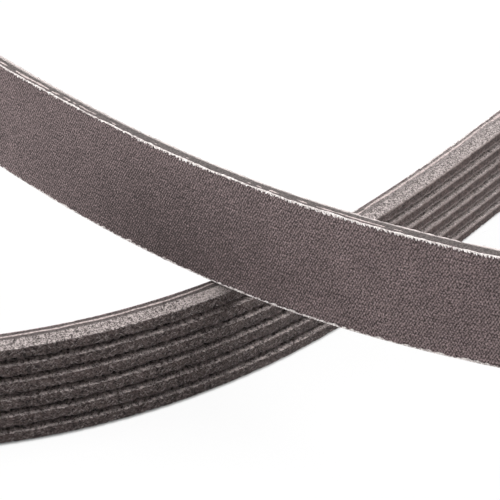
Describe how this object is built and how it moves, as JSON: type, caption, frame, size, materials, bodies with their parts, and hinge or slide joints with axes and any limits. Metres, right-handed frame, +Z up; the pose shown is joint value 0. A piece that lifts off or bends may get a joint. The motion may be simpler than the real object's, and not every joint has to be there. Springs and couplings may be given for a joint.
{
  "type": "serpentine belt",
  "caption": "Endless ribbed drive belt for a car engine's accessories, with V-shaped ribs inside and a woven fabric back, standing on edge in three loops.",
  "frame": {"origin": "on the table, in the middle of the lower side wall, where the upper strand crosses over the lower one near the front", "axes": "+Z up from the table; +Y from the side that the picture looks from towards the far loop; +X to the right, towards the right loop"},
  "size_m": [0.4482, 0.4207, 0.0455],
  "materials": {
    "rubber": "matt black-brown rubber, with short pale fibres on the flanks of the ribs",
    "fabric_back": "fine weave laid on the bias and soaked in rubber, matt brown-grey",
    "cut_edge": "pale cut ends of the back's threads, frayed, and the ends of the cords"
  },
  "bodies": {
    "root": {"serpentine_belt": "rubber"}
  },
  "joints": []
}
